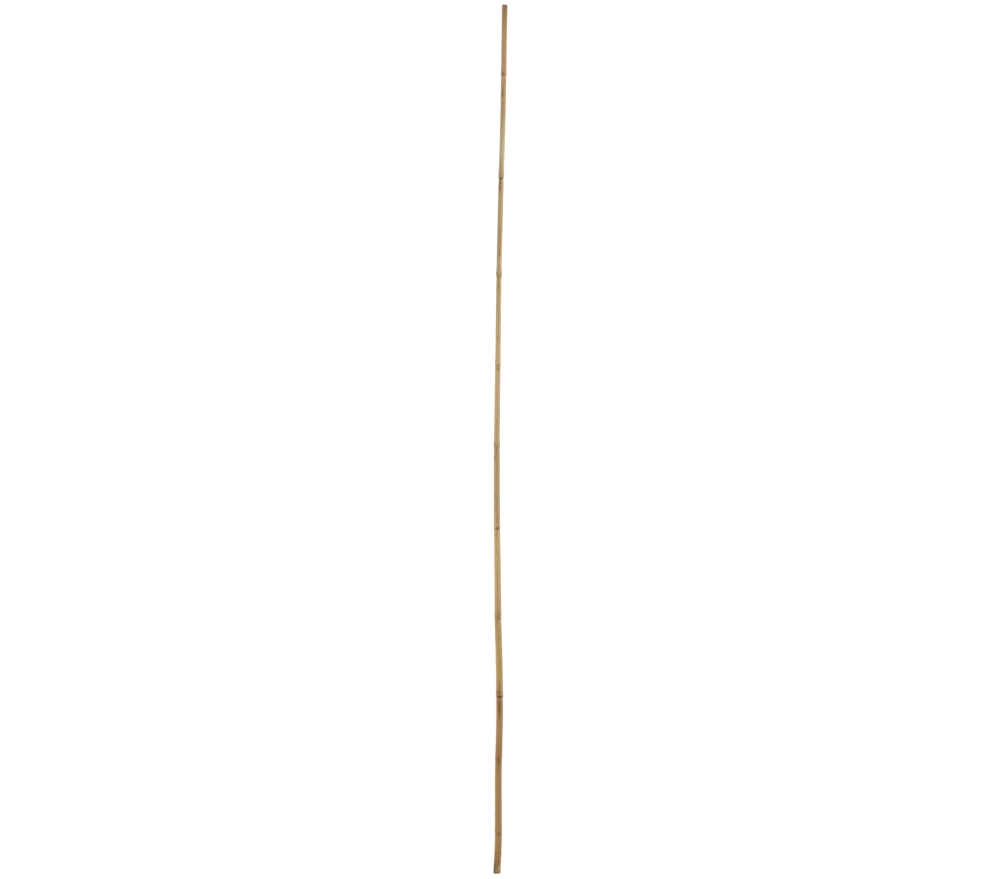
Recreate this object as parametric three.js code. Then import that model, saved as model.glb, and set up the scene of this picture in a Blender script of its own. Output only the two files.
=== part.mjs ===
// A bamboo garden cane: one length of a single culm, sawn square at both ends and lying on the ground.
// Millimetres, +Z up. The cane lies along Y, with its thick butt at -Y and its thin tip at +Y.
// It is one grown piece. The skin steps out at every node: below is the ring where the sheath grew,
// then a narrow furrow, then the swollen ridge, and on alternate sides a bud with a groove above it.
import * as THREE from "three";
import { mergeVertices } from "three/addons/utils/BufferGeometryUtils.js";

const SIDES = 20; // facets round the culm
const LONGEST_FACET = 42; // along a plain stretch of culm

// The stretches of culm between nodes, from the butt to the tip. Each gives its length, its diameter
// halfway up, how far its middle bows to +X, and the node at its upper end: how far the ridge swells, how
// far the node stands to the side of a straight line, and its gap to the ground. The tip has no node.
const INTERNODES = [
  { length: 84, diameter: 14.2, bow: 0.4, swell: 0.3, sideways: -3.3, gap: 0 },
  { length: 150, diameter: 14.1, bow: -0.5, swell: 0.25, sideways: -2.9, gap: 0.5 },
  { length: 131, diameter: 13.9, bow: 0.6, swell: 0.5, sideways: -0.9, gap: 0 },
  { length: 162, diameter: 14.2, bow: 0.4, swell: 0.45, sideways: -4.2, gap: 0.6 },
  { length: 185, diameter: 13.8, bow: 0.6, swell: 0.5, sideways: -6.2, gap: 0.4 },
  { length: 170, diameter: 12.7, bow: 0.1, swell: 0.5, sideways: -6.5, gap: 0 },
  { length: 169, diameter: 11.9, bow: -0.1, swell: 0.35, sideways: -4.3, gap: 0.6 },
  { length: 185, diameter: 10.8, bow: 0, swell: 0.8, sideways: -2.0, gap: 0.9 },
  { length: 203, diameter: 10.9, bow: 0, swell: 0.7, sideways: 2.5, gap: 0.6 },
  { length: 213, diameter: 11.05, bow: 0.5, swell: 0.45, sideways: 7.7, gap: 0 },
  { length: 148, diameter: 11.3, bow: -0.2, swell: 0, sideways: 9.9, gap: 0.5 },
];
const BUTT_SIDEWAYS = -6.3;
const BUTT_GAP = 0.3;
const BUTT_FLARE = 0.25; // how much the radius grows over the last stretch to the butt
const BUTT_FLARE_LENGTH = 30;

// A node seen from the side: rise is the height above the sheath ring, out is how far the skin stands
// proud of the plain culm there, and swell is the share of the node's own swelling to add.
const NODE_PROFILE = [
  { rise: -26, out: 0, swell: 0 },
  { rise: -12, out: -0.08, swell: -0.2 },
  { rise: -3, out: -0.12, swell: -0.35 },
  { rise: -0.7, out: -0.05, swell: -0.3 },
  { rise: 0, out: 0.35, swell: 0 },
  { rise: 0.7, out: 0.3, swell: 0.05 },
  { rise: 1.5, out: -0.05, swell: 0.1 },
  { rise: 3.5, out: 0, swell: 0.65 },
  { rise: 5.5, out: 0, swell: 1 },
  { rise: 8, out: 0, swell: 0.85 },
  { rise: 13, out: 0, swell: 0.35 },
  { rise: 22, out: 0, swell: 0.08 },
  { rise: 32, out: 0, swell: 0 },
];

const BUD_ANGLE = THREE.MathUtils.degToRad(82); // the first rank of buds, turned from +X towards +Z
const BUD_HEIGHT = 5; // above the sheath ring
const BUD_SPREAD = { along: 3.5, round: 0.32 }; // how far a bud reaches, in millimetres and radians
const BUD_OUT = 0.45;
const GROOVE = { depth: 0.4, round: 0.42, length: 110 }; // the groove above a bud fades over its length

const BUTT_BORE = { radius: 2.9, depth: 81 }; // the hollow open at the sawn butt, down to its first node
const TIP_BORE = { radius: 2.0, depth: 145 };
const BORE_TAPER = 0.5; // the bore's end is this much narrower than its mouth
const SAWN_EDGE = 0.25; // the worn corner round each sawn face

const LENGTH = INTERNODES.reduce((sum, internode) => sum + internode.length, 0);

// The nodes, with their heights above the butt and the side their buds are on.
function growNodes() {
  let height = 0;
  return INTERNODES.slice(0, -1).map((internode, index) => {
    height += internode.length;
    const budAngle = BUD_ANGLE + (index % 2 === 1 ? 0 : Math.PI);
    return { height, budAngle, swell: internode.swell };
  });
}
const nodes = growNodes();

// A smooth curve through values given at rising heights: at(height) is an array of one value each.
function smoothCurve(heights, values) {
  const size = values.length / heights.length;
  const curve = new THREE.CubicInterpolant(heights, values, size);
  return (height) => curve.evaluate(THREE.MathUtils.clamp(height, heights[0], heights.at(-1)));
}

// The plain culm's radius at any height, from the diameters halfway up each internode.
function makeGirth() {
  const middles = INTERNODES.map(
    (internode, index) => (index ? nodes[index - 1].height : 0) + internode.length / 2,
  );
  const radii = INTERNODES.map((internode) => internode.diameter / 2);
  const at = smoothCurve(middles, radii);
  return (height) => {
    const flare = Math.max(0, 1 - height / BUTT_FLARE_LENGTH);
    return at(height)[0] + BUTT_FLARE * flare * flare;
  };
}
const girth = makeGirth();

// The outside of the culm as [radius, height] points, from the butt to the tip.
function outsideProfile() {
  const rings = [{ height: 0, out: -SAWN_EDGE }, { height: SAWN_EDGE, out: 0 }];
  for (const node of nodes) {
    for (const ring of NODE_PROFILE) {
      rings.push({ height: node.height + ring.rise, out: ring.out + ring.swell * node.swell });
    }
  }
  rings.push({ height: LENGTH - SAWN_EDGE, out: 0 }, { height: LENGTH, out: -SAWN_EDGE });
  const points = [];
  for (const [index, ring] of rings.entries()) {
    const last = rings[index - 1];
    const steps = last ? Math.ceil((ring.height - last.height) / LONGEST_FACET) : 1;
    for (let step = 1; step <= steps; step++) {
      const height = last ? last.height + ((ring.height - last.height) * step) / steps : 0;
      const out = step === steps ? ring.out : 0;
      points.push(new THREE.Vector2(girth(height) + out, height));
    }
  }
  return points;
}

// A blind hollow from a sawn face, as points from its closed end on the axis out to its mouth.
function boreProfile(bore, face, inwards) {
  const end = bore.radius * (1 - BORE_TAPER / 2);
  const turn = bore.radius / 2;
  return [
    new THREE.Vector2(0, face + inwards * bore.depth),
    new THREE.Vector2(end * 0.7, face + inwards * (bore.depth - turn * 0.3)),
    new THREE.Vector2(end, face + inwards * (bore.depth - turn)),
    new THREE.Vector2(bore.radius, face + inwards * bore.depth * 0.4),
    new THREE.Vector2(bore.radius, face + inwards * SAWN_EDGE),
    new THREE.Vector2(bore.radius + SAWN_EDGE, face),
  ];
}

function bell(distance, reach) {
  return Math.exp(-((distance / reach) ** 2));
}

function angleBetween(a, b) {
  return Math.atan2(Math.sin(a - b), Math.cos(a - b));
}

// How far the skin stands in or out at one place, because of the buds and the grooves above them.
function budRelief(height, angle) {
  let relief = 0;
  for (const node of nodes) {
    const above = height - node.height;
    const turned = angleBetween(angle, node.budAngle);
    relief += BUD_OUT * bell(above - BUD_HEIGHT, BUD_SPREAD.along) * bell(turned, BUD_SPREAD.round);
    if (above > BUD_HEIGHT && above < GROOVE.length) {
      const start = Math.min(1, (above - BUD_HEIGHT) / BUD_SPREAD.along);
      const fade = 1 - above / GROOVE.length;
      relief -= GROOVE.depth * start * fade * bell(turned, GROOVE.round);
    }
  }
  return relief;
}

// The straight culm, turned about Y, as one closed surface with its butt at y = 0.
function straightCulm() {
  const profile = [
    ...boreProfile(BUTT_BORE, 0, 1),
    ...outsideProfile(),
    ...boreProfile(TIP_BORE, LENGTH, -1).reverse(),
  ];
  const lathe = new THREE.LatheGeometry(profile, SIDES);
  lathe.deleteAttribute("normal");
  lathe.deleteAttribute("uv");
  return mergeVertices(lathe, 1e-3);
}

// Move every vertex of the outside by the relief of the buds.
function raiseBuds(culm) {
  const place = culm.getAttribute("position");
  for (let i = 0; i < place.count; i++) {
    const radius = Math.hypot(place.getX(i), place.getZ(i));
    const height = place.getY(i);
    if (radius < girth(height) - 1) continue;
    const angle = Math.atan2(place.getZ(i), place.getX(i));
    const scale = (radius + budRelief(height, angle)) / radius;
    place.setXYZ(i, place.getX(i) * scale, height, place.getZ(i) * scale);
  }
}

// How far the straight culm reaches below its own axis within a short way of one height.
function depthBelowAxis(culm, height) {
  const near = 15;
  const place = culm.getAttribute("position");
  let lowest = 0;
  for (let i = 0; i < place.count; i++) {
    if (Math.abs(place.getY(i) - height) < near) lowest = Math.min(lowest, place.getZ(i));
  }
  return -lowest;
}

// How far the culm bows to +X between two nodes at one height.
function bowAt(height) {
  let start = 0;
  for (const { length, bow } of INTERNODES) {
    const share = (height - start) / length;
    if (share <= 1) return bow * 4 * Math.max(0, share) * (1 - share);
    start += length;
  }
  return 0;
}

// Bend the culm onto its grown line: bowed to the side, a little crooked at its nodes, and lying on them.
function bend(culm) {
  const heights = [0];
  const offsets = [BUTT_SIDEWAYS, depthBelowAxis(culm, 0) + BUTT_GAP];
  INTERNODES.forEach((internode, index) => {
    const height = nodes[index]?.height ?? LENGTH;
    heights.push(height);
    offsets.push(internode.sideways, depthBelowAxis(culm, height) + internode.gap);
  });
  const line = smoothCurve(heights, offsets);
  const place = culm.getAttribute("position");
  for (let i = 0; i < place.count; i++) {
    const [sideways, up] = line(place.getY(i));
    const bowed = sideways + bowAt(place.getY(i));
    place.setXYZ(i, place.getX(i) + bowed, place.getY(i), place.getZ(i) + up);
  }
}

// Put the origin under the middle of the cane, on the ground.
function centre(culm) {
  culm.computeBoundingBox();
  const { min, max } = culm.boundingBox;
  culm.translate(-(min.x + max.x) / 2, -(min.y + max.y) / 2, -min.z);
}

const culm = straightCulm();
raiseBuds(culm);
bend(culm);
centre(culm);
culm.computeVertexNormals();

const cane = new THREE.Mesh(
  culm,
  new THREE.MeshStandardMaterial({ color: 0xb39b76, roughness: 0.5, metalness: 0 }),
);
cane.name = "bamboo_cane";

const part = new THREE.Group();
part.add(cane);
export default part;
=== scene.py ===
# A bamboo garden cane lying on a pale floor and seen from straight above.
# The frame gives the culm's line, its girth, its nodes and its two open ends. This script turns a fine skin
# over them, grows the sheath rings, buds and branch scars, bends it onto its line, and colours it.
# Heights are measured up the straight culm from the butt. Angles go round it: 0 is +X and 90 faces up.
import math
from types import SimpleNamespace

import bmesh
import bpy
import numpy as np
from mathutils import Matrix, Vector, noise


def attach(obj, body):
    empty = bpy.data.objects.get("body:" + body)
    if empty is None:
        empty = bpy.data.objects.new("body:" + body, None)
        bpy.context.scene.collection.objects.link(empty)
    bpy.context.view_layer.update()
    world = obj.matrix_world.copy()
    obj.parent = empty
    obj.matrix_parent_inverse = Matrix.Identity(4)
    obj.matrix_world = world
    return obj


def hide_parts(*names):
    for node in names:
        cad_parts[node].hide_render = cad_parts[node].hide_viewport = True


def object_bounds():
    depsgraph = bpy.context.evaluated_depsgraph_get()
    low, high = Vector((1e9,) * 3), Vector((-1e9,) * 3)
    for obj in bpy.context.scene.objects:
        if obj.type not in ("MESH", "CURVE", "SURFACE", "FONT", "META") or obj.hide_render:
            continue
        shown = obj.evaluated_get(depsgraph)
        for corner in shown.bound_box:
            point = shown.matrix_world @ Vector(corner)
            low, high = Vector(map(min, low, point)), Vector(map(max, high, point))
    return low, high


MM = 0.001
CANE_NODE = "bamboo_cane"

# ---- the fine mesh ----
SIDES = 64
PLAIN_STEP = 2.5 * MM  # between two rings of corners on plain skin
MARK_STEP = 0.8 * MM  # at a short mark
SHORT_MARK = 7  # a mark is short when it reaches less than this along the culm, in millimetres
# Closer steps near a node: from this far below its ring, to this far above it, and the step there.
NODE_STEPS = [
    (-11 * MM, 15 * MM, 0.8 * MM),
    (-3.5 * MM, 9.5 * MM, 0.36 * MM),
    (-2.4 * MM, 1.7 * MM, 0.2 * MM),
]
SHARP_EDGE = math.radians(50)
MERGE = 0.001 * MM

# ---- how the frame's rings are read ----
RING_GAP = 0.1 * MM  # two rings of corners stand further apart than this
LEAST_RADIUS = 4 * MM  # the skin is wider than this, and the hollows are narrower
RING_SLOPE = 0.5  # the skin steps out this steeply only at a sheath ring and at the butt's worn corner
BUTT_CORNER = 4 * MM  # the worn corner lies below this height
NODE_REACH = (-25.5 * MM, 31.5 * MM)  # the skin outside this reach of every node is plain
HOLLOW_SEARCH = 400 * MM  # a hollow's rings all lie this near its end of the culm

# ---- the sawn ends ----
SAWN_EDGE = 0.25 * MM
SAWN_RINGS = 9
SAWN_TILT = (0.02, -0.026)  # how askew the saw ran at the butt and at the tip
TILT_TOWARDS = 0.9
TILT_REACH = 5 * MM  # the skin moves with the tilted cut up to here
TRACK_DEPTH = 0.035 * MM
TRACK_WIDTH = 0.21 * MM
TRACK_TURN = 0.5
# The rounded bottom of a hollow: how far out and how far back from it, in shares of the hollow's radius.
HOLLOW_BOTTOM = [(0, 0), (0.45, 0.08), (0.75, 0.28), (0.93, 0.65), (1, 1.3)]

# ---- the parts of the culm's surface, which are its material slots too ----
SKIN, SAWN, LINING = 0, 1, 2
COVERS = ("brown", "black", "pale", "grey", "wax", "green", "rose")

# ---- the flat map, one across and one along ----
SKIN_STRIPS = 7
SKIN_SHARE = 0.86  # the strips of skin take this much of its width, and the ends and hollows the rest
ENDS_SHARE = 1 - SKIN_SHARE
STRIP_GAP = 0.04
STRIP_EDGE = 0.008
DISC_SIZE = ENDS_SHARE * 0.45
DISC_REACH = 7.7 * MM  # the radius that a sawn face's disc on the map has room for
DISC_HEIGHTS = {"butt": 0.7, "tip": 0.88}
LINING_GAP = 0.15
LINING_START = 0.01
LINING_LENGTH = 0.55
LINING_SPARE = 1.1  # the lining is laid out for a hollow this many times as deep as the tip's

# ---- the camera ----
PICTURE = (1000, 879)
LENS = 85
SENSOR = 36
LENGTH_SHARE = 870 / 879
AIM = (-0.9 * MM, -1.0 * MM)  # how far off the cane's middle the camera stands
SIGHT = 50  # how far the camera sees, in metres

# ---- the floor and the light, in metres and watts ----
FLOOR_REACH = 60
FLOOR_PAINT = (0.9, 0.9, 0.9, 1)
FLOOR_GLOW = 0.42
WHITE = (1, 1, 1, 1)
SKY = 0.58
SOFTBOX_SIZE = (1.2, 3.6)
SOFTBOXES = {"right_softbox": ((2.4, 0, 1.3), 46), "left_softbox": ((-2.4, 0, 1.3), 40)}

# ---- the growth of the culm, in millimetres and radians ----
# A rise is a height above a node's sheath ring, and a reach is how far a swelling or a hollow spreads.
FIRST_RANK = math.radians(82)
NODE_NEAR = (30, 115)  # a node changes the skin from this far below its ring to this far above it
RING_OUT = 0.38
RING_UNDER = (-1.0, 0.05)
RING_OVER = (0.2, 0.6)
RING_DIP = 0.8  # the ring dips this far under the bud
RING_DIP_ROUND = 0.5
RING_WOBBLE = 0.25
FURROW_IN = 0.14
FURROW_RISE = 1.2
FURROW_REACH = 0.8
NECK_IN = 0.1
NECK_RISE = -4
NECK_REACH = 5
RIDGE_RISE = 5.5
RIDGE_REACH_DOWN = 2.7
RIDGE_REACH_UP = 8.5
WAIST_IN = 0.35  # a share of the ridge's swelling, just under the ring
WAIST_RISE = -3
WAIST_REACH = 6
BUD_RISE = 5.0
BUD_OUT = 0.5
BUD_LENGTH = 3.4
BUD_WIDTH = 2.3
BUD_WIDTHS = (0.5, 3.2)
BUD_NARROWS = 0.22  # for each millimetre up
BUD_SEAM = 0.1
BUD_SEAM_WIDTH = 0.35
SCAR_RISE = 5.8
SCAR_LENGTH = 3.1
SCAR_WIDTH = 2.5
COLLAR_OUT = 0.75
CUT_OUT = 0.12
PITH_IN = 0.25
PITH_REACH = 0.22
GROOVE_IN = 0.4
GROOVE_ROUND = 0.42
GROOVE_START = 6
GROOVE_LENGTH = 110.0
FLUTES = [(0.1, 2, 140, 20), (0.05, 5, 30, 40)]  # how deep, turns and length of the ripple, and its seed
OVAL = 0.012
OVAL_TWIST = 400
WRINKLE = 0.06

# How each node looks, from the butt to the tip: how dark the painted shade in its furrow is, how pale the
# rim of its ring, how waxy the skin under it, how far the ring tilts (mm) and towards which angle, what
# stands on its bud side, and how many degrees that is turned off its rank.
NODE_LOOKS = [
    dict(furrow=0.5, rim=0.65, wax=0.15, tilt=0.5, towards=20, growth="bud", turn=8),
    dict(furrow=0.3, rim=0.3, wax=0.15, tilt=0.4, towards=200, growth="bud", turn=-12),
    dict(furrow=0.6, rim=0.3, wax=0.2, tilt=0.6, towards=160, growth="bud", turn=5),
    dict(furrow=0.35, rim=0.5, wax=0.25, tilt=0.5, towards=330, growth="bud", turn=-14),
    dict(furrow=0.4, rim=0.45, wax=0.3, tilt=0.7, towards=60, growth="bud", turn=10),
    dict(furrow=0.12, rim=0.25, wax=0.3, tilt=0.5, towards=250, growth="bud", turn=34),
    dict(furrow=0.5, rim=0.35, wax=0.3, tilt=0.4, towards=100, growth="branch", turn=-6),
    dict(furrow=0.12, rim=0.35, wax=0.3, tilt=0.6, towards=180, growth="bud", turn=4),
    dict(furrow=0.6, rim=0.7, wax=0.1, tilt=0.5, towards=300, growth="branch", turn=-9),
    dict(furrow=0.35, rim=0.5, wax=0.2, tilt=0.4, towards=40, growth="bud", turn=44),
]

# The plain skin's colours, as shown on a screen.
SHADES = {
    "weathered": (147, 120, 84),
    "umber": (157, 119, 72),
    "honey": (165, 129, 82),
    "ripe": (178, 148, 95),
    "dun": (173, 144, 105),
    "straw": (187, 157, 114),
    "pale": (187, 162, 125),
    "tan": (181, 156, 118),
    "cream": (188, 171, 137),
    "rosy": (181, 152, 116),
}

# Where the skin turns from one shade to the next, up the culm: height (mm), shade, and its painted side
# light, how much lighter its +X side is painted than its -X side.
SHADE_STATIONS = [
    (0, "weathered", 0.22),
    (30, "umber", 0.12),
    (60, "honey", -0.02),
    (195, "honey", -0.06),
    (234, "umber", -0.04),
    (300, "honey", 0.01),
    (358, "umber", 0.04),
    (408, "ripe", -0.02),
    (490, "ripe", -0.04),
    (532, "dun", 0.0),
    (600, "straw", -0.05),
    (690, "straw", -0.04),
    (770, "dun", -0.04),
    (860, "dun", -0.04),
    (900, "tan", 0.04),
    (950, "pale", -0.04),
    (1070, "pale", 0.06),
    (1195, "tan", 0.16),
    (1262, "pale", 0.26),
    (1315, "tan", 0.24),
    (1400, "tan", 0.2),
    (1444, "tan", 0.26),
    (1490, "cream", 0.2),
    (1520, "cream", 0.2),
    (1570, "tan", 0.16),
    (1620, "rosy", 0.14),
    (1700, "rosy", 0.1),
    (1745, "dun", 0.05),
    (1800, "weathered", 0.0),
]

# Marks on the skin: stains, marks of weather, dark streaks by the nodes, and at the third node bands of
# painted shade and painted highlight. Each has its kind, height (mm), angle (degrees), reach along and
# across (mm), strength.
MARKS = [
    # the butt
    ("black", 4, 158, 9, 1.5, 0.9),
    ("pale", 7, 96, 6, 1.0, 0.9),
    ("brown", 8, 140, 14, 2.6, 1.0),
    ("pale", 9, 52, 8, 2.2, 0.8),
    ("green", 10, 150, 16, 4.0, 0.6),
    ("brown", 16, 92, 5, 1.6, 0.9),
    ("brown", 26, 150, 13, 1.5, 0.9),
    ("brown", 27, 70, 3.0, 1.8, 1.3),
    ("rose", 40, 35, 36, 4.0, 1.0),
    ("black", 43, 33, 3.4, 1.9, 1.9),
    # the first node
    ("brown", 78, 20, 6, 2.2, 0.4),
    ("grey", 78, 28, 13, 2.4, 0.8),
    ("brown", 81, 68, 3.5, 5.0, 0.8),
    ("green", 120, 150, 56, 3.4, 0.9),
    ("black", 122, 155, 3.0, 1.7, 1.7),
    ("grey", 130, 24, 62, 3.4, 0.5),
    # the second node
    ("green", 205, 30, 34, 3.0, 0.6),
    ("brown", 234, 88, 11, 2.6, 0.55),
    ("brown", 243, 92, 3, 1.2, 0.4),
    ("brown", 262, 105, 16, 1.6, 0.6),
    ("green", 262, 35, 34, 3.0, 0.8),
    ("green", 300, 30, 40, 3.0, 0.7),
    ("rose", 305, 140, 40, 3.0, 0.8),
    # the third node, the darkest
    ("brown", 330, 91, 14, 1.6, 1.05),
    ("brown", 350, 92, 13, 1.8, 1.35),
    ("pale", 361, 90, 1.4, 12.0, 0.6),
    # A dark ring at 366 to 367 mm, over the sheath ring and its furrow: painted shade of the furrow and the
    # sheath scar.
    ("brown", 366, 90, 2.6, 14.0, 0.5),
    ("black", 366.5, 92, 2.2, 1.6, 0.7),
    ("brown", 367, 93, 3.0, 2.6, 1.2),
    # A pale ring over the ridge above the third node: a painted highlight where the ridge catches the
    # light.
    ("pale", 370.5, 90, 1.2, 12.0, 0.55),
    ("brown", 375.5, 93, 3.6, 2.4, 1.4),
    ("black", 375, 92, 2.0, 1.4, 0.65),
    ("brown", 378, 150, 3.5, 2.0, 1.0),
    ("brown", 390, 92, 10, 1.6, 0.6),
    ("rose", 392, 150, 14, 3.0, 0.9),
    ("green", 416, 70, 32, 4.5, 1.0),
    # the fourth node
    ("green", 455, 35, 26, 3.0, 0.8),
    ("grey", 461, 35, 3, 1.6, 0.7),
    ("brown", 484, 95, 3.0, 1.5, 1.1),
    ("brown", 507, 120, 9, 1.2, 0.6),
    ("brown", 521, 106, 6, 2.6, 0.55),
    ("brown", 528, 90, 1.6, 14.0, 0.2),
    ("black", 532, 82, 3.2, 1.4, 0.75),
    ("brown", 540, 78, 9, 2.2, 0.9),
    ("green", 560, 20, 44, 3.0, 0.7),
    # the fifth node
    ("rose", 650, 130, 40, 3.0, 0.4),
    ("brown", 703, 110, 2.4, 1.5, 1.0),
    ("pale", 709, 115, 1.6, 1.6, 0.8),
    ("brown", 714, 80, 3.8, 3.2, 0.8),
    ("grey", 715, 86, 3.4, 3.0, 0.5),
    ("brown", 731, 72, 10, 1.8, 0.7),
    ("grey", 780, 120, 26, 1.6, 0.5),
    # the sixth node
    ("grey", 856.5, 127, 4.2, 2.0, 1.5),
    ("grey", 864, 128, 3.2, 1.7, 1.3),
    ("green", 870, 150, 24, 3.0, 0.9),
    ("brown", 876, 80, 12, 4.0, 0.55),
    ("grey", 876, 128, 6.5, 1.8, 1.3),
    ("grey", 888, 130, 5.5, 1.6, 1.2),
    ("rose", 905, 60, 30, 3.0, 0.5),
    ("black", 934, 38, 2.2, 1.1, 0.9),
    ("brown", 937, 100, 3, 1.5, 0.9),
    # the seventh node
    ("green", 1030, 140, 80, 3.0, 0.5),
    ("brown", 1047, 85, 5.5, 5.0, 0.75),
    ("green", 1050, 100, 9, 6.0, 0.9),
    ("grey", 1052, 125, 2.0, 1.8, 0.8),
    ("grey", 1061, 145, 2.6, 2.2, 1.3),
    ("rose", 1105, 50, 44, 3.0, 0.9),
    ("grey", 1109, 100, 6, 1.6, 0.9),
    ("black", 1112, 150, 2.0, 1.3, 0.9),
    ("brown", 1154, 45, 2.4, 1.4, 1.0),
    # the eighth node
    ("brown", 1218, 84, 14, 1.6, 0.55),
    ("green", 1222, 90, 28, 6.0, 1.0),
    ("brown", 1235, 90, 6, 14.0, 0.25),
    ("brown", 1238, 155, 9, 2.4, 1.1),
    ("brown", 1238, 30, 8, 2.0, 0.9),
    # A long dark streak down the middle of the groove above the eighth node.
    ("brown", 1306, 92, 48, 1.6, 0.75),
    ("green", 1370, 60, 40, 3.0, 0.6),
    # the ninth node, with a dark streak under it
    ("rose", 1410, 40, 26, 3.0, 0.9),
    ("brown", 1421, 112, 15, 1.8, 1.0),
    ("black", 1424, 112, 13, 1.2, 0.9),
    ("brown", 1439, 102, 3.6, 2.8, 1.0),
    ("black", 1439, 102, 3.0, 2.2, 1.9),
    ("rose", 1462, 130, 18, 3.0, 0.8),
    ("green", 1520, 90, 55, 7.0, 0.5),
    # the tenth node
    ("rose", 1600, 30, 50, 3.0, 0.6),
    ("pale", 1604, 95, 2.2, 1.5, 1.0),
    ("brown", 1618, 108, 16, 1.9, 0.9),
    ("green", 1620, 108, 20, 2.4, 1.2),
    ("pale", 1648.5, 90, 1.3, 14.0, 0.6),
    ("brown", 1654.5, 112, 4.5, 6.0, 0.6),
    ("rose", 1690, 60, 44, 4.0, 1.0),
    # the tip
    ("green", 1745, 145, 45, 3.0, 0.7),
    ("grey", 1796, 50, 8, 2.2, 0.9),
    ("grey", 1798, 140, 4, 2.2, 0.9),
]

# ---- the materials: colours are as shown on a screen, or shares of the colour under them ----
# The skin's noises: the width and the length of a feature (mm), detail, roughness, and shift.
SKIN_NOISES = {
    "fibres": (0.3, 22, 4, 0.55, 0),
    "streaks": (1.3, 70, 3, 0.55, 31),
    "mottle": (4.5, 16, 5, 0.65, 57),
    "clouds": (14, 60, 2, 0.55, 83),
    "stripes": (3.2, 190, 2, 0.55, 47),
    "scratches": (0.16, 9, 2, 0.55, 101),
    "dust": (6, 40, 3, 0.55, 7),
}
# Faint layers on the tint: the noise, where it begins and where it is full, how strong it gets, its share.
FIBRE_LAYERS = [
    ("fibres", 0.3, 0.75, 1, (0.85, 0.82, 0.77)),
    ("streaks", 0.44, 0.7, 0.95, (0.82, 0.765, 0.69)),
    ("streaks", 0.47, 0.28, 0.9, (1.12, 1.11, 1.09)),
    ("clouds", 0.4, 0.7, 0.7, (0.98, 1.03, 1.04)),
    ("stripes", 0.5, 0.66, 0.8, (0.94, 1.0, 0.88)),
    ("stripes", 0.5, 0.34, 0.8, (1.04, 0.98, 0.95)),
    ("mottle", 0.55, 0.74, 0.55, (0.76, 0.63, 0.5)),
    ("scratches", 0.66, 0.74, 0.6, (1.16, 1.15, 1.12)),
]
CASTS = {"green": (0.93, 1.0, 0.8), "rose": (1.02, 0.92, 0.9)}
# Specks: how far apart they are across and along (mm), how much of that one fills, and a shift. Then how
# strong they are and their share.
FINE_SPECKS = ((0.9, 1.5, 0.2, 3), 0.6, (0.5, 0.4, 0.3, 1))
BIG_SPECKS = ((6, 12, 0.075, 19), 0.75, (0.42, 0.32, 0.22, 1))
CROWDING = (0.48, 0.62)
# How the fibres tear the edge of a mark: from their noise to what the mark is multiplied by.
TEAR = [("From Min", 0.3), ("From Max", 0.7), ("To Min", 0.45), ("To Max", 1.55)]
# The marks, each over the last: how its edge is torn, where it begins and where it is full, how strong it
# gets, how it covers, its colour, and how much rougher it makes the skin.
MARK_LOOKS = [
    ("wax", "torn", 0.1, 0.9, 0.45, "MIX", (205, 196, 172), 0.3),
    ("grey", "mouldy", 0.15, 1.05, 0.75, "MIX", (112, 100, 72), 0.2),
    ("brown", "blotched", 0.12, 0.95, 0.9, "MULTIPLY", (0.54, 0.34, 0.1), 0.12),
    ("black", "blotched", 0.2, 0.95, 0.85, "MIX", (72, 42, 14), 0.2),
    ("pale", "torn", 0.25, 0.95, 0.7, "MIX", (214, 194, 154), 0.25),
]
SKIN_SHINE = 0.36
SKIN_ROUGHNESS = (0.32, 0.52)
PITH = (206, 186, 148)
WALL = (170, 138, 98)
BUNDLE = (104, 72, 42)
RIND = (116, 84, 50)
DIRT = (120, 104, 84)
SAW_TRACK = (140, 116, 84)
SAWN_ROUGHNESS = 0.85
LINING_COLOURS = ((196, 176, 138), (150, 124, 86))
LINING_ROUGHNESS = 0.8


def bell(distance, reach):
    """1 at no distance, falling smoothly to nothing past its reach."""
    return np.exp(-((distance / reach) ** 2))


def ease(value, start, end):
    """0 before start and 1 after end, with a smooth slope between them."""
    share = np.clip((value - start) / (end - start), 0, 1)
    return share * share * (3 - 2 * share)


def turned(angle, other):
    """How far one angle is turned from another, between -pi and pi."""
    return (angle - other + math.pi) % (2 * math.pi) - math.pi


def from_screen(value):
    """A screen colour from 0 to 255 as the light that it stands for."""
    share = np.asarray(value, float) / 255
    return np.where(share <= 0.04045, share / 12.92, ((share + 0.055) / 1.055) ** 2.4)


def ripple(angle, height, turns, length, seed):
    """Smooth noise round and up the culm: turns sets how many waves go round, and length (mm) how long."""
    values = np.empty(len(angle))
    across = turns / math.pi
    for index, (a, h) in enumerate(zip(angle, height)):
        place = Vector((math.cos(a) * across, h / length, math.sin(a) * across + seed))
        values[index] = noise.noise(place)
    return values


# ---- what the frame says ----
def find_rings(node):
    """The rings of corners in the frame's mesh, from the butt to the tip."""
    corners = np.unique(np.round([v.co for v in node.data.vertices], 7), axis=0)
    corners = corners[np.argsort(corners[:, 1])]
    breaks = np.flatnonzero(np.diff(corners[:, 1]) > RING_GAP) + 1
    return np.split(corners, breaks)


def measure_ring(ring):
    """A ring's place along the frame, the middle of its outermost corners, and its radius."""
    right = ring[ring[:, 0].argmax()]
    left = ring[ring[:, 0].argmin()]
    return right[1], (right[0] + left[0]) / 2, (right[2] + left[2]) / 2, (right[0] - left[0]) / 2


def read_hollow(rings, end):
    """The depth and the radius of the hollow that opens at one end, whose rings are all inside the culm."""
    depths = abs(rings[:, 0] - end)
    near = depths < HOLLOW_SEARCH
    return SimpleNamespace(depth=depths[near].max(), radius=rings[near, 3].max())


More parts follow.
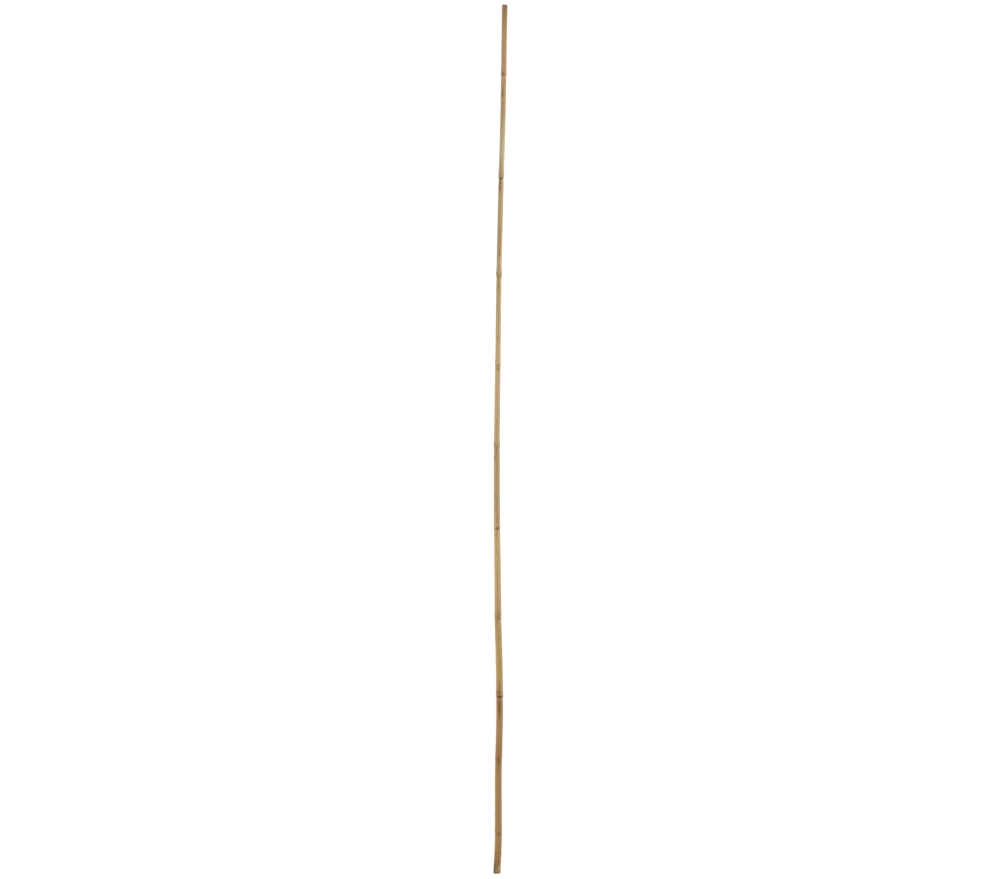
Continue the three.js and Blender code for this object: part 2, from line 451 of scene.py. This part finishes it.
def read_culm(node):
    """The culm's line, girth, nodes and hollows, measured on the frame's rings, up from the butt."""
    rings = np.array([measure_ring(ring) for ring in find_rings(node)])
    butt = rings[0, 0]
    rings[:, 0] -= butt
    length = rings[-1, 0]
    is_skin = rings[:, 3] > LEAST_RADIUS
    height, across, up, radius = rings[is_skin].T
    steps = np.flatnonzero(np.diff(radius) / np.diff(height) > RING_SLOPE) + 1
    nodes = height[steps][height[steps] > BUTT_CORNER]
    if len(nodes) != len(NODE_LOOKS):
        raise ValueError(f"the frame's culm has {len(nodes)} nodes, not {len(NODE_LOOKS)}")
    rise = height[:, None] - nodes
    plain = ((rise < NODE_REACH[0]) | (rise > NODE_REACH[1])).all(1)
    plain &= (height > SAWN_EDGE / 2) & (height < length - SAWN_EDGE / 2)
    girth = (height[plain], radius[plain])
    swells = np.interp(nodes + RIDGE_RISE * MM, height, radius) - np.interp(nodes, *girth)
    return SimpleNamespace(
        butt=butt,
        length=length,
        nodes=nodes,
        swells=swells,
        girth=lambda at: np.interp(at, *girth),
        line=lambda at: (np.interp(at, height, across), np.interp(at, height, up)),
        butt_hollow=read_hollow(rings[~is_skin], 0),
        tip_hollow=read_hollow(rings[~is_skin], length),
    )


# ---- the straight culm ----
def ring_heights(culm):
    """Where the skin's rings go: close together at the nodes and the small marks, and wider elsewhere."""
    marks = np.array(
        [(height * MM, 2 * along * MM) for _, height, _, along, _, _ in MARKS if along < SHORT_MARK]
    )
    heights = [SAWN_EDGE]
    while heights[-1] < culm.length - SAWN_EDGE - PLAIN_STEP:
        rise = heights[-1] - culm.nodes
        step = PLAIN_STEP
        if (abs(heights[-1] - marks[:, 0]) < marks[:, 1]).any():
            step = MARK_STEP
        for start, end, closer in NODE_STEPS:
            if ((rise > start) & (rise < end)).any():
                step = closer
        heights.append(heights[-1] + step)
    return heights[:-1] + [culm.length - SAWN_EDGE]


def sawn_end(culm, hollow, skin_radius):
    """One end's profile from the closed end of its hollow to its rim: part, radius and depth."""
    mouth = hollow.radius
    points = [(LINING, mouth * out, hollow.depth - mouth * back) for out, back in HOLLOW_BOTTOM]
    straight = hollow.depth - mouth * HOLLOW_BOTTOM[-1][1]
    count = round(straight / PLAIN_STEP)
    points += [(LINING, mouth, straight * (1 - step / count)) for step in range(1, count)]
    points += [(LINING, mouth, SAWN_EDGE)]
    rim = skin_radius - SAWN_EDGE
    for share in np.linspace(0, 1, SAWN_RINGS):
        points.append((SAWN, mouth + SAWN_EDGE + share * (rim - mouth - SAWN_EDGE), 0))
    points.append((SAWN, skin_radius - 0.3 * SAWN_EDGE, 0.3 * SAWN_EDGE))
    return points


def culm_profile(culm):
    """The culm's outline from the bottom of the butt's hollow, over the skin, to that of the tip's."""
    profile = sawn_end(culm, culm.butt_hollow, culm.girth(0))
    profile += [(SKIN, float(culm.girth(height)), height) for height in ring_heights(culm)]
    tip = sawn_end(culm, culm.tip_hollow, culm.girth(culm.length))
    profile += [(part, radius, culm.length - depth) for part, radius, depth in reversed(tip)]
    return profile


def turn_culm(profile):
    """Spin the profile about Y into one closed mesh whose corners know their part of the culm."""
    bm = bmesh.new()
    part_of = bm.verts.layers.float.new("part")
    reach_of = bm.verts.layers.float.new("reach")
    last = None
    reach = 0
    for part, radius, height in profile:
        corner = bm.verts.new((radius, height, 0))
        if last:
            bm.edges.new((last, corner))
            reach += (corner.co - last.co).length
        corner[part_of] = part
        corner[reach_of] = reach
        last = corner
    outline = bm.verts[:] + bm.edges[:]
    bmesh.ops.spin(
        bm, geom=outline, cent=(0, 0, 0), axis=(0, 1, 0), angle=2 * math.pi, steps=SIDES, use_merge=True
    )
    bmesh.ops.remove_doubles(bm, verts=bm.verts, dist=MERGE)
    bmesh.ops.recalc_face_normals(bm, faces=bm.faces)
    for face in bm.faces:
        face.material_index = round(max(corner[part_of] for corner in face.verts))
        face.smooth = True
    mesh = bpy.data.meshes.new("cane")
    bm.to_mesh(mesh)
    bm.free()
    return mesh


def read_values(mesh, name):
    values = np.empty(len(mesh.vertices), np.float32)
    mesh.attributes[name].data.foreach_get("value", values)
    return values


def straight_places(mesh, culm):
    """Each corner's angle, height, radius, part and reach on the straight culm."""
    corners = np.empty(len(mesh.vertices) * 3, np.float32)
    mesh.vertices.foreach_get("co", corners)
    x, height, z = corners.reshape(-1, 3).astype(float).T
    part = read_values(mesh, "part").round().astype(int)
    return SimpleNamespace(
        angle=np.arctan2(z, x),
        height=height,
        radius=np.hypot(x, z),
        part=part,
        reach=read_values(mesh, "reach").astype(float),
    )


# ---- what grew on it ----
def grow_ring(rise, ragged):
    """The sheath ring, its neck below and its furrow above in mm out from the skin, and the ring's rim."""
    neck = -NECK_IN * bell(rise - NECK_RISE, NECK_REACH) * (rise < 0)
    rim = ease(rise, *RING_UNDER) * (1 - ease(rise, *RING_OVER))
    furrow = -FURROW_IN * bell(rise - FURROW_RISE, FURROW_REACH)
    return neck + furrow + RING_OUT * ragged * rim, rim


def grow_ridge(rise, swell):
    """The swollen ridge: steep on the ring's side and long on the other, in millimetres."""
    below = bell(rise - RIDGE_RISE, RIDGE_REACH_DOWN)
    above = bell(rise - RIDGE_RISE, RIDGE_REACH_UP)
    waist = -WAIST_IN * bell(rise - WAIST_RISE, WAIST_REACH)
    return swell * (np.where(rise < RIDGE_RISE, below, above) + np.where(rise < 0, waist, 0))


def grow_bud(rise, arc):
    """A sleeping bud: a low pointed scale in mm, the dark outline round it, and no cut."""
    width = np.clip(BUD_WIDTH - BUD_NARROWS * (rise - BUD_RISE), *BUD_WIDTHS)
    inside = np.hypot((rise - BUD_RISE) / BUD_LENGTH, arc / width)
    out = BUD_OUT * (1 - ease(inside, 0.35, 1.15)) - 0.12 * bell(inside - 1.15, 0.2)
    seam = BUD_SEAM * bell(arc, BUD_SEAM_WIDTH) * (inside < 1)
    return out - seam, bell(inside - 1.1, 0.28), np.zeros_like(inside)


def grow_branch_scar(rise, arc):
    """A trimmed branch: an oval cut on a low collar in mm, the dark lines round it, and the cut itself."""
    inside = np.hypot((rise - SCAR_RISE) / SCAR_LENGTH, arc / SCAR_WIDTH)
    collar = COLLAR_OUT * (1 - ease(inside, 0.75, 1.45))
    flat = CUT_OUT * (1 - ease(inside, 0, 0.8)) * np.clip(arc / SCAR_WIDTH, -1, 1) ** 2
    pith = -PITH_IN * bell(inside, PITH_REACH)
    return collar + flat + pith, bell(inside - 1, 0.2) + bell(inside, 0.2), bell(inside, 0.65)


def grow_groove(rise, turn):
    """The long groove that the branch pressed into the culm above its bud, in millimetres."""
    start = ease(rise, BUD_RISE, BUD_RISE + GROOVE_START)
    fade = np.clip(1 - rise / GROOVE_LENGTH, 0, 1)
    return -GROOVE_IN * start * fade * bell(turn, GROOVE_ROUND)


GROWTHS = {"bud": grow_bud, "branch": grow_branch_scar}


def grow_node(skin, culm, index, cover):
    """Add one node's colours to cover, the painted shade in its furrow among them. Gives where the node is,
    and its relief there in mm.
    """
    look = SimpleNamespace(**NODE_LOOKS[index])
    node = culm.nodes[index]
    rank = FIRST_RANK + (math.pi if index % 2 == 0 else 0) + math.radians(look.turn)
    near = (skin.height > node - NODE_NEAR[0] * MM) & (skin.height < node + NODE_NEAR[1] * MM)
    angle = skin.angle[near]
    height = skin.height[near] / MM
    turn = turned(angle, rank)
    arc = turn * culm.girth(node) / MM
    wobble = ripple(angle, height * 0, 5, 1, 7.3 * index)
    dip = RING_DIP * bell(turn, RING_DIP_ROUND)
    tilt = look.tilt * np.cos(angle - math.radians(look.towards))
    rise = height - node / MM - tilt + dip - RING_WOBBLE * wobble
    ragged = 0.85 + 0.5 * ripple(angle, height, 14, 1.5, 3.1 * index)
    ring, rim = grow_ring(rise, ragged)
    relief = ring + grow_ridge(rise, culm.swells[index] / MM) + grow_groove(rise, turn)
    growth, outline, cut = GROWTHS[look.growth](rise, arc)
    relief += growth
    patchy = 0.75 + 0.6 * ripple(angle, height, 4, 6, 11 + index)
    # A dark band in and just above the furrow over the ring, painted shade of the furrow, and a faint brown
    # over the ridge.
    cover.brown[near] += look.furrow * (bell(rise - 1.9, 1.2) * patchy + 0.22 * bell(rise - 5, 4))
    cover.brown[near] += (0.15 + 0.6 * look.furrow) * outline * patchy
    cover.pale[near] += look.rim * rim * (1.9 * patchy - 0.4) + 0.55 * cut
    waxed = ease(-rise, 0.2, 1.2) * (1 - ease(-rise, 4, 14))
    cover.wax[near] += look.wax * waxed * patchy
    return near, relief


def mark_skin(skin, cover):
    """Paint the marks into cover, each a soft uneven patch along the fibres: stains, marks of weather, dark
    streaks, and the third node's bands of painted shade and painted highlight.
    """
    wander = ripple(skin.angle, skin.height / MM, 5, 4, 90)
    drift = ripple(skin.angle, skin.height / MM, 3, 9, 130)
    for kind, height, angle, along, across, strength in MARKS:
        rise = (skin.height / MM - height) / along + 0.7 * drift
        arc = turned(skin.angle, math.radians(angle)) * skin.radius / MM / across + 0.6 * wander
        getattr(cover, kind)[:] += strength * bell(np.hypot(rise, arc), 1)


def sculpt_skin(skin, culm):
    """The skin's relief in metres and its cover of colours: flutes, an oval turn, nodes and marks."""
    count = len(skin.angle)
    cover = SimpleNamespace(**{kind: np.zeros(count) for kind in COVERS})
    height = skin.height / MM
    relief = sum(deep * ripple(skin.angle, height, *waves) for deep, *waves in FLUTES)
    relief += OVAL * skin.radius / MM * np.cos(2 * (skin.angle - height / OVAL_TWIST))
    for index in range(len(culm.nodes)):
        near, raised = grow_node(skin, culm, index, cover)
        relief[near] += raised
    mark_skin(skin, cover)
    return relief * MM, cover


def tilt_cut(place, culm):
    """How far the corners near each sawn end move along the cane, because the saw ran a little askew."""
    shift = np.zeros(len(place.angle))
    for end, tilt in zip((0, culm.length), SAWN_TILT):
        fade = np.clip(1 - abs(place.height - end) / TILT_REACH, 0, 1)
        askew = tilt * place.radius * np.cos(place.angle - TILT_TOWARDS)
        tracks = TRACK_DEPTH * np.sin(place.radius * np.sin(place.angle + TRACK_TURN) / TRACK_WIDTH)
        shift += fade * (askew + tracks * (place.part == SAWN))
    return shift


def sculpt_culm(mesh, culm):
    """Move every corner of the straight culm to its sculpted place. Gives the places and the cover."""
    place = straight_places(mesh, culm)
    on_skin = place.part == SKIN
    skin = SimpleNamespace(
        angle=place.angle[on_skin], height=place.height[on_skin], radius=place.radius[on_skin]
    )
    relief, skin_cover = sculpt_skin(skin, culm)
    cover = SimpleNamespace(**{kind: np.zeros(len(on_skin)) for kind in COVERS})
    for kind in COVERS:
        getattr(cover, kind)[on_skin] = getattr(skin_cover, kind)
    place.radius[on_skin] += relief
    lining = place.part == LINING
    wrinkle = ripple(place.angle[lining], place.height[lining] / MM, 6, 30, 60)
    place.radius[lining] *= 1 + WRINKLE * wrinkle
    place.height += tilt_cut(place, culm)
    return place, cover


# ---- colours on the mesh ----
def tint_skin(place):
    """The skin's own colour at every corner, without its marks, with painted side light making one side
    lighter and the other darker.
    """
    stops, shades, painted_light_leans = zip(*SHADE_STATIONS)
    height = place.height / MM
    bands = zip(*(SHADES[shade] for shade in shades))
    tint = from_screen(np.stack([np.interp(height, stops, band) for band in bands], 1))
    painted_light_lean = np.interp(height, stops, painted_light_leans)
    # Painted side light: the +X side is lightened and the -X side darkened by the station's share.
    return tint * (1 + painted_light_lean * np.cos(place.angle))[:, None]


def write_attribute(mesh, name, kind, values):
    layer = mesh.attributes.new(name, kind, "POINT")
    field = {"FLOAT": "value", "FLOAT_VECTOR": "vector", "FLOAT_COLOR": "color"}[kind]
    layer.data.foreach_set(field, np.ascontiguousarray(values, np.float32).ravel())


def find_rind(place, culm):
    """How far each corner lies between the edge of its end's hollow, 0, and the skin, 1."""
    at_tip = place.height > culm.length / 2
    inner = np.where(at_tip, culm.tip_hollow.radius, culm.butt_hollow.radius)
    outer = np.where(at_tip, culm.girth(culm.length), culm.girth(0))
    return np.clip((place.radius - inner) / (outer - inner), 0, 1)


def write_cover(mesh, place, cover, culm):
    """Store what the materials read: the tint with its painted side light, the covers, and each corner's
    place on the straight culm.
    """
    tint = np.ones((len(place.angle), 4))
    tint[:, :3] = tint_skin(place)
    write_attribute(mesh, "tint", "FLOAT_COLOR", tint)
    for kind in COVERS:
        write_attribute(mesh, kind, "FLOAT", np.clip(getattr(cover, kind), 0, 1.5))
    grain = np.stack(
        [place.radius * np.cos(place.angle), place.height, place.radius * np.sin(place.angle)], 1
    )
    write_attribute(mesh, "grain", "FLOAT_VECTOR", grain / MM)
    write_attribute(mesh, "rind", "FLOAT", find_rind(place, culm))


def face_corners(mesh):
    """For every face corner of the mesh: its vertex, its part, and a way to average over its face."""
    vertex = np.empty(len(mesh.loops), np.int32)
    mesh.loops.foreach_get("vertex_index", vertex)
    total = np.empty(len(mesh.polygons), np.int32)
    mesh.polygons.foreach_get("loop_total", total)
    part = np.empty(len(mesh.polygons), np.int32)
    mesh.polygons.foreach_get("material_index", part)
    face = np.repeat(np.arange(len(total)), total)

    def mean(values):
        return (np.bincount(face, values) / total)[face]

    return vertex, part[face], mean


def lay_out_bake_map(mesh, place, culm):
    """A flat map of the cane: its skin in strips side by side, then its sawn faces and its hollows."""
    vertex, part, mean = face_corners(mesh)
    x = (place.radius * np.cos(place.angle))[vertex]
    z = (place.radius * np.sin(place.angle))[vertex]
    middle = np.arctan2(mean(z), mean(x)) + math.pi
    turn = middle + np.where(place.radius[vertex] > 0, turned(place.angle[vertex] + math.pi, middle), 0)
    round_share = turn / (2 * math.pi)
    height = place.height[vertex]
    at_tip = mean(height) > culm.length / 2

    strip_length = culm.length / SKIN_STRIPS
    strip = np.clip(mean(height) // strip_length, 0, SKIN_STRIPS - 1)
    strip_across = (strip + STRIP_GAP + round_share * (1 - 2 * STRIP_GAP)) * SKIN_SHARE / SKIN_STRIPS
    strip_along = STRIP_EDGE + (height / strip_length - strip) * (1 - 2 * STRIP_EDGE)

    disc_across = SKIN_SHARE + ENDS_SHARE / 2 + DISC_SIZE * x / DISC_REACH
    disc_height = np.where(at_tip, DISC_HEIGHTS["tip"], DISC_HEIGHTS["butt"])
    disc_along = disc_height + DISC_SIZE * z / DISC_REACH

    reach = place.reach[vertex]
    deep = np.where(at_tip, place.reach.max() - reach, reach)
    lining_width = 1 - 2 * LINING_GAP
    lining_across = SKIN_SHARE + ENDS_SHARE / 2 * (at_tip + LINING_GAP + lining_width * round_share)
    lining_along = LINING_START + LINING_LENGTH * deep / (culm.tip_hollow.depth * LINING_SPARE)

    parts = [part == SKIN, part == SAWN, part == LINING]
    across = np.select(parts, [strip_across, disc_across, lining_across])
    along = np.select(parts, [strip_along, disc_along, lining_along])
    layer = mesh.uv_layers.new(name="OFBake")
    layer.data.foreach_set("uv", np.stack([across, along], 1).astype(np.float32).ravel())


# ---- materials ----
def add(material, kind, inputs=(), **settings):
    """A shader node. inputs holds pairs of a socket and the value or the output that it takes."""
    tree = material.node_tree
    made = tree.nodes.new(kind)
    for name, value in settings.items():
        setattr(made, name, value)
    for socket, value in inputs:
        if isinstance(value, bpy.types.NodeSocket):
            tree.links.new(value, made.inputs[socket])
        else:
            made.inputs[socket].default_value = value
    return made


def maths(material, operation, *values):
    return add(material, "ShaderNodeMath", enumerate(values), operation=operation).outputs[0]


def attribute(material, name, output="Fac"):
    return add(material, "ShaderNodeAttribute", attribute_name=name).outputs[output]


def along_fibres(material, across, along, shift):
    """A place on the straight culm, in features this wide and this long (mm), shifted by its own amount."""
    inputs = [
        ("Vector", attribute(material, "grain", "Vector")),
        ("Location", (shift, shift, shift)),
        ("Scale", (1 / across, 1 / along, 1 / across)),
    ]
    return add(material, "ShaderNodeMapping", inputs).outputs[0]


def stretched_noise(material, across, along, detail=3, roughness=0.55, shift=0):
    """Noise that follows the fibres: its features are about this wide and this long, in millimetres."""
    place = along_fibres(material, across, along, shift)
    inputs = [("Vector", place), ("Scale", 1), ("Detail", detail), ("Roughness", roughness)]
    return add(material, "ShaderNodeTexNoise", inputs).outputs[0]


def stepped(material, value, low, high, to_low=0, to_high=1):
    """value turned into a smooth step: to_low below low, to_high above high."""
    spread = [("From Min", low), ("From Max", high), ("To Min", to_low), ("To Max", to_high)]
    inputs = [("Value", value), *spread]
    return add(material, "ShaderNodeMapRange", inputs, interpolation_type="SMOOTHSTEP").outputs[0]


def mixed(material, share, first, second, blend="MIX"):
    """Two colours mixed: the second covers the first by share."""
    made = add(material, "ShaderNodeMix", data_type="RGBA", blend_type=blend)
    for socket, value in ((0, share), (6, first), (7, second)):
        if isinstance(value, bpy.types.NodeSocket):
            material.node_tree.links.new(value, made.inputs[socket])
        else:
            made.inputs[socket].default_value = value
    return made.outputs[2]


def colour(red, green, blue):
    return (*from_screen((red, green, blue)), 1)


def new_material(name):
    material = bpy.data.materials.new(name)
    material.use_nodes = True
    return material, material.node_tree.nodes["Principled BSDF"]


def roughen(material, surface, height, strength, distance):
    """Let the surface shade as if it stood out with this height, whose full step is this distance (mm)."""
    inputs = [("Height", height), ("Strength", strength), ("Distance", distance * MM)]
    bump = add(material, "ShaderNodeBump", inputs)
    material.node_tree.links.new(bump.outputs[0], surface.inputs["Normal"])


def specks(material, across, along, size, shift):
    """Small specks, longer along the fibres: 1 inside a speck and 0 outside."""
    place = along_fibres(material, across, along, shift)
    cells = add(material, "ShaderNodeTexVoronoi", [("Vector", place), ("Scale", 1)])
    return stepped(material, cells.outputs["Distance"], 0.4 * size, size, 1, 0)


def tint_fibres(material, noises):
    """The skin's tint with its faint layers, each where its noise is between two values, and its casts."""
    # The tint holds the skin's shades and their painted side light.
    skin = attribute(material, "tint", "Color")
    for name, low, high, strongest, stain in FIBRE_LAYERS:
        share = stepped(material, noises[name], low, high, 0, strongest)
        skin = mixed(material, share, skin, (*stain, 1), "MULTIPLY")
    for kind, stain in CASTS.items():
        share = stepped(material, attribute(material, kind), 0, 1)
        skin = mixed(material, share, skin, (*stain, 1), "MULTIPLY")
    return skin


def speckle(material, skin, noises):
    """Two sizes of specks on the skin: the fine ones crowd together. Gives the skin and the big specks."""
    places, strength, stain = FINE_SPECKS
    crowd = stepped(material, noises["dust"], *CROWDING)
    fine = maths(material, "MULTIPLY", specks(material, *places), crowd)
    skin = mixed(material, maths(material, "MULTIPLY", fine, strength), skin, stain, "MULTIPLY")
    places, strength, stain = BIG_SPECKS
    big = specks(material, *places)
    skin = mixed(material, maths(material, "MULTIPLY", big, strength), skin, stain, "MULTIPLY")
    return skin, big


def paint_marks(material, skin, noises):
    """The marks on the skin, torn into streaks. Gives the skin, and how much rougher the marks make it."""
    torn = add(material, "ShaderNodeMapRange", [("Value", noises["fibres"]), *TEAR]).outputs[0]
    blotched = maths(material, "MULTIPLY", torn, maths(material, "ADD", noises["streaks"], 0.5))
    mouldy = maths(material, "MULTIPLY", blotched, maths(material, "ADD", noises["mottle"], 0.5))
    edges = {"torn": torn, "blotched": blotched, "mouldy": mouldy}
    rougher = 0
    for kind, edge, low, high, strongest, blend, stain, rough in MARK_LOOKS:
        value = maths(material, "MULTIPLY", attribute(material, kind), edges[edge])
        share = stepped(material, value, low, high, 0, strongest)
        stain = colour(*stain) if blend == "MIX" else (*stain, 1)
        skin = mixed(material, share, skin, stain, blend)
        rougher = maths(material, "ADD", rougher, maths(material, "MULTIPLY", share, rough))
    return skin, rougher


def skin_material():
    """The culm's hard, satin skin: fine fibres, streaks, mottling, specks, and the marks painted on it."""
    material, surface = new_material("culm_skin")
    link = material.node_tree.links.new
    noises = {name: stretched_noise(material, *settings) for name, settings in SKIN_NOISES.items()}
    skin = tint_fibres(material, noises)
    skin, big_specks = speckle(material, skin, noises)
    skin, rougher = paint_marks(material, skin, noises)
    link(skin, surface.inputs["Base Color"])
    surface.inputs["Specular IOR Level"].default_value = SKIN_SHINE
    rough = stepped(material, noises["mottle"], 0.3, 0.8, *SKIN_ROUGHNESS)
    link(maths(material, "ADD", rough, rougher), surface.inputs["Roughness"])
    height = maths(material, "ADD", noises["fibres"], maths(material, "MULTIPLY", noises["mottle"], 0.4))
    height = maths(material, "SUBTRACT", height, maths(material, "MULTIPLY", big_specks, 0.5))
    roughen(material, surface, height, 0.7, 0.07)
    return material


def flat_pattern(material, scale, turn=0):
    """A place across the sawn face, in millimetres over this scale, turned by an angle."""
    grain = attribute(material, "grain", "Vector")
    turned_round = add(material, "ShaderNodeMapping", [("Vector", grain), ("Rotation", (0, turn, 0))])
    flat = add(material, "ShaderNodeMapping", [("Vector", turned_round.outputs[0]), ("Scale", scale)])
    return flat.outputs[0]


def bundle_dots(material, width, low, high):
    """The cut fibre bundles, one in each cell of about this width (mm)."""
    place = flat_pattern(material, (1 / width, 0, 1 / width))
    inputs = [("Vector", place), ("Scale", 1), ("Randomness", 0.8)]
    cells = add(material, "ShaderNodeTexVoronoi", inputs)
    return stepped(material, cells.outputs["Distance"], low, high, 1, 0)


def sawn_material():
    """The sawn end: pale pith, cut fibre bundles that crowd towards the thin brown rind, and saw tracks."""
    material, surface = new_material("sawn_end")
    rind = attribute(material, "rind")
    wood = mixed(material, stepped(material, rind, 0.1, 0.95), colour(*PITH), colour(*WALL))
    sparse = bundle_dots(material, 0.72, 0.16, 0.3)
    sparse = maths(material, "MULTIPLY", sparse, stepped(material, rind, 0.45, 0.7, 0.7, 0))
    crowded = bundle_dots(material, 0.36, 0.18, 0.42)
    crowded = maths(material, "MULTIPLY", crowded, stepped(material, rind, 0.4, 0.75, 0, 0.75))
    bundles = maths(material, "MAXIMUM", sparse, crowded)
    wood = mixed(material, bundles, wood, colour(*BUNDLE))
    wood = mixed(material, stepped(material, rind, 0.93, 0.985, 0, 0.8), wood, colour(*RIND))
    dirt = stretched_noise(material, 2.2, 2.2, detail=4)
    wood = mixed(material, stepped(material, dirt, 0.45, 0.75, 0, 0.6), wood, colour(*DIRT))
    inputs = [("Vector", flat_pattern(material, (0.2, 0, 6), TRACK_TURN)), ("Scale", 1), ("Detail", 3)]
    tracks = add(material, "ShaderNodeTexNoise", inputs).outputs[0]
    wood = mixed(material, stepped(material, tracks, 0.5, 0.7, 0, 0.35), wood, colour(*SAW_TRACK))
    material.node_tree.links.new(wood, surface.inputs["Base Color"])
    surface.inputs["Roughness"].default_value = SAWN_ROUGHNESS
    height = maths(material, "ADD", maths(material, "MULTIPLY", bundles, -0.5), tracks)
    roughen(material, surface, height, 0.8, 0.12)
    return material


def lining_material():
    """The papery lining of the hollows."""
    material, surface = new_material("hollow_lining")
    wrinkles = stretched_noise(material, 0.8, 12, detail=4)
    light, dark = (colour(*shade) for shade in LINING_COLOURS)
    lining = mixed(material, stepped(material, wrinkles, 0.3, 0.7), light, dark)
    material.node_tree.links.new(lining, surface.inputs["Base Color"])
    surface.inputs["Roughness"].default_value = LINING_ROUGHNESS
    roughen(material, surface, wrinkles, 0.7, 0.15)
    return material


# ---- the cane ----
def bend_culm(mesh, place, culm):
    """Carry the straight culm onto its line, and let its lowest corner just touch the floor."""
    across, up = culm.line(place.height)
    corners = np.stack(
        [
            place.radius * np.cos(place.angle) + across,
            place.height + culm.butt,
            place.radius * np.sin(place.angle) + up,
        ],
        1,
    )
    corners[:, 2] -= corners[:, 2].min()
    mesh.vertices.foreach_set("co", corners.astype(np.float32).ravel())
    mesh.update()


def make_cane(culm):
    mesh = turn_culm(culm_profile(culm))
    place, cover = sculpt_culm(mesh, culm)
    write_cover(mesh, place, cover, culm)
    lay_out_bake_map(mesh, place, culm)
    bend_culm(mesh, place, culm)
    mesh.attributes.remove(mesh.attributes["part"])
    mesh.attributes.remove(mesh.attributes["reach"])
    for material in (skin_material(), sawn_material(), lining_material()):
        mesh.materials.append(material)
    mesh.set_sharp_from_angle(angle=SHARP_EDGE)
    cane = bpy.data.objects.new("cane", mesh)
    bpy.context.scene.collection.objects.link(cane)
    return cane


# ---- the stage ----
def make_camera(low, high):
    """Straight above the cane, with its tip at the top of the picture."""
    middle = (low + high) / 2
    length = high.y - low.y
    camera = bpy.data.objects.new("camera", bpy.data.cameras.new("camera"))
    camera.data.lens = LENS
    camera.data.sensor_width = SENSOR
    wide = length * PICTURE[0] / (PICTURE[1] * LENGTH_SHARE)
    distance = wide * LENS / SENSOR
    camera.location = (middle.x + AIM[0], middle.y + AIM[1], high.z + distance)
    camera.data.clip_end = SIGHT
    bpy.context.scene.collection.objects.link(camera)
    bpy.context.scene.camera = camera


def make_softbox(name, place, power):
    """A long softbox beside the cane, turned towards the middle of it."""
    data = bpy.data.lights.new(name, "AREA")
    data.shape = "RECTANGLE"
    data.size, data.size_y = SOFTBOX_SIZE
    data.energy = power
    lamp = bpy.data.objects.new(name, data)
    lamp.location = place
    lamp.rotation_euler = (Vector() - Vector(place)).to_track_quat("-Z", "Y").to_euler()
    lamp.visible_camera = False
    bpy.context.scene.collection.objects.link(lamp)


def make_floor():
    bm = bmesh.new()
    bmesh.ops.create_grid(bm, x_segments=1, y_segments=1, size=FLOOR_REACH)
    mesh = bpy.data.meshes.new("floor")
    bm.to_mesh(mesh)
    bm.free()
    material, surface = new_material("pale_floor")
    surface.inputs["Base Color"].default_value = FLOOR_PAINT
    surface.inputs["Roughness"].default_value = 0.9
    surface.inputs["Emission Color"].default_value = WHITE
    surface.inputs["Emission Strength"].default_value = FLOOR_GLOW
    mesh.materials.append(material)
    floor = bpy.data.objects.new("floor", mesh)
    bpy.context.scene.collection.objects.link(floor)


def make_light():
    world = bpy.data.worlds.new("studio")
    world.use_nodes = True
    background = world.node_tree.nodes["Background"]
    background.inputs["Color"].default_value = WHITE
    background.inputs["Strength"].default_value = SKY
    bpy.context.scene.world = world
    bpy.context.scene.view_settings.view_transform = "Standard"
    for name, (place, power) in SOFTBOXES.items():
        make_softbox(name, place, power)


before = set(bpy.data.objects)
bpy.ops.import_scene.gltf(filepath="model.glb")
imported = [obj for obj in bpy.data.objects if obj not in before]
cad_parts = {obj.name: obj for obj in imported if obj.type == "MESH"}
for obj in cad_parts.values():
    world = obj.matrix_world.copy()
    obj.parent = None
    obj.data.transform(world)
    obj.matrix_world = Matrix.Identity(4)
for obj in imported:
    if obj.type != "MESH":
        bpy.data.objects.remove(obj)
cad_low, cad_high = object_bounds()
make_camera(cad_low, cad_high)
culm = read_culm(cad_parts[CANE_NODE])
cane = make_cane(culm)
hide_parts(CANE_NODE)
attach(cane, "root")
make_floor()
make_light()
